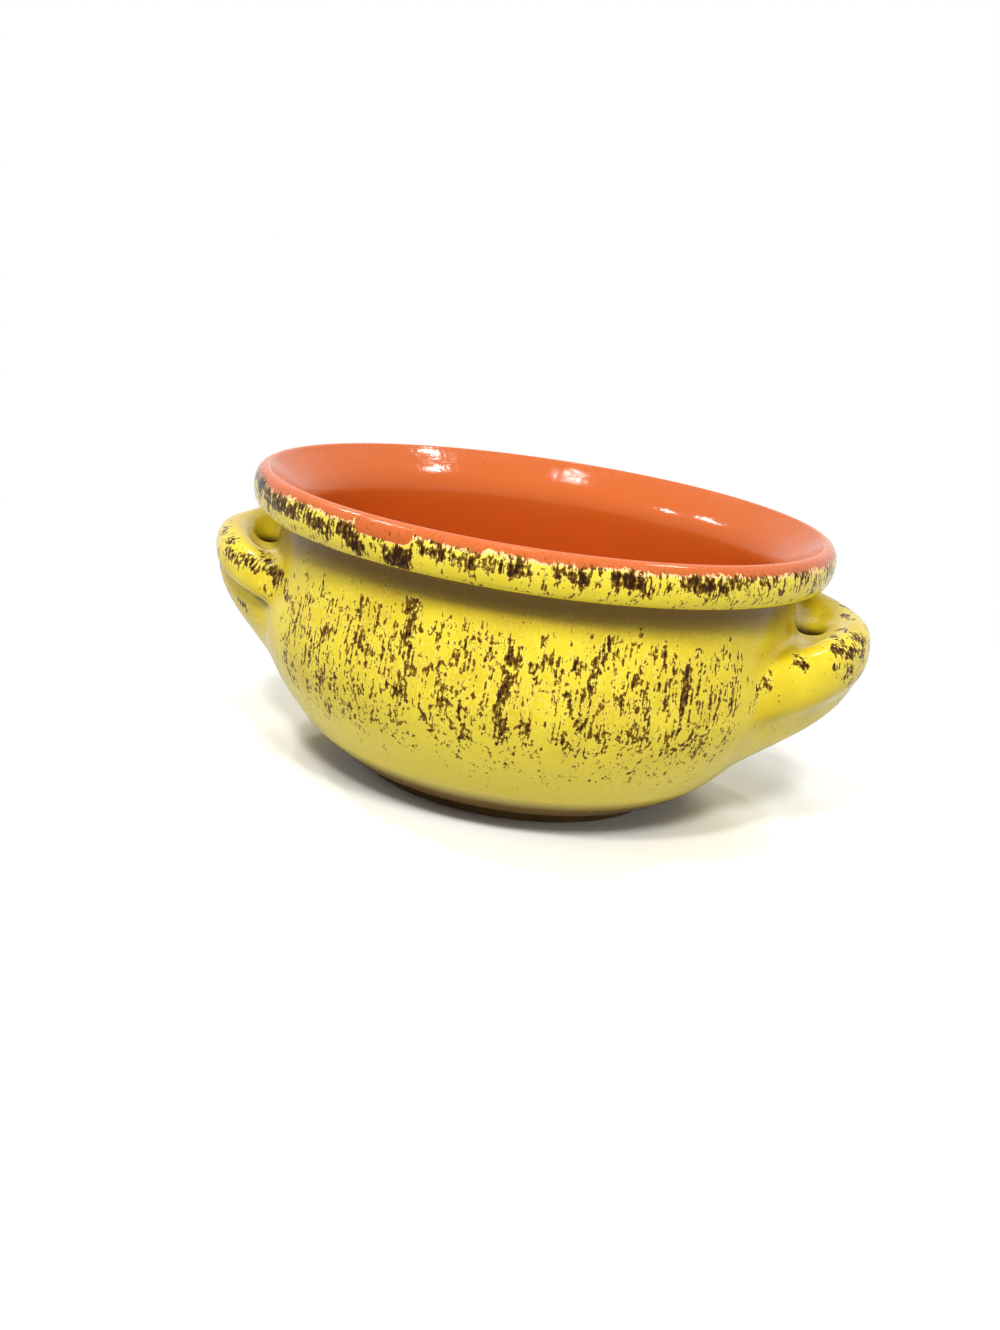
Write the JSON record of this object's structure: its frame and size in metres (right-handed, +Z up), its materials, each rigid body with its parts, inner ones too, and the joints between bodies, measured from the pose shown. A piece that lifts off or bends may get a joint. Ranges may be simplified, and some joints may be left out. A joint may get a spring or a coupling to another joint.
{
  "type": "soup crock",
  "caption": "Small round earthenware soup crock with a rolled rim, ear handles with thumb dishes and a flat foot, glazed orange inside and yellow with brushed brown marks outside.",
  "frame": {"origin": "middle of the foot, on the surface that the crock stands on", "axes": "+Z up along the bowl's axis; X through the two ears, with +X towards the ear with the lower front strand"},
  "size_m": [0.1734, 0.15, 0.0745],
  "materials": {
    "clay": "matt bisque terracotta",
    "slip": "matt",
    "orange_glaze": "glossy",
    "yellow_glaze": "glossy with brushed brown marks"
  },
  "bodies": {
    "root": {"bowl_body": "clay", "left_handle": "clay", "right_handle": "clay", "left_handle_slip": "slip", "right_handle_slip": "slip", "inner_glaze": "orange_glaze", "outer_glaze": "yellow_glaze", "left_handle_glaze": "yellow_glaze", "right_handle_glaze": "yellow_glaze"}
  },
  "joints": []
}
